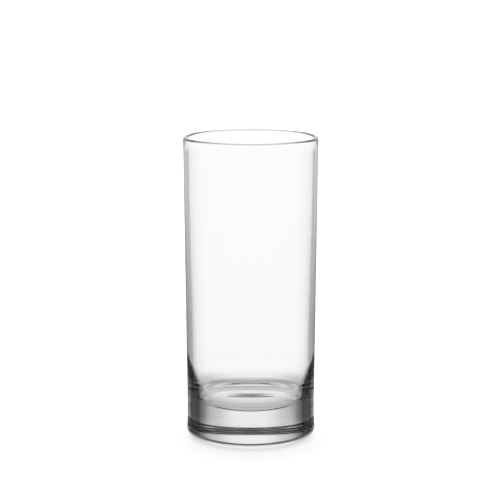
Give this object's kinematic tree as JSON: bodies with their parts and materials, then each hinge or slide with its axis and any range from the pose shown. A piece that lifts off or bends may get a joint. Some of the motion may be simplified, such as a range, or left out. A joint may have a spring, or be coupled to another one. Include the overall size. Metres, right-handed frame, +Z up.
{
  "type": "highball glass",
  "caption": "Tall straight drinking glass with a thin, slightly tapered wall, a thick clear base and a softly rounded heel, for long drinks.",
  "frame": {"origin": "centre of the bearing ring's footprint, on the table", "axes": "+Z up along the glass's own axis, from the table to the lip; X and Y are free, because the glass is round"},
  "size_m": [0.0642, 0.0642, 0.146],
  "materials": {
    "clear_glass": "clear, fire-polished gloss"
  },
  "bodies": {
    "root": {"tumbler": "clear_glass"}
  },
  "joints": []
}
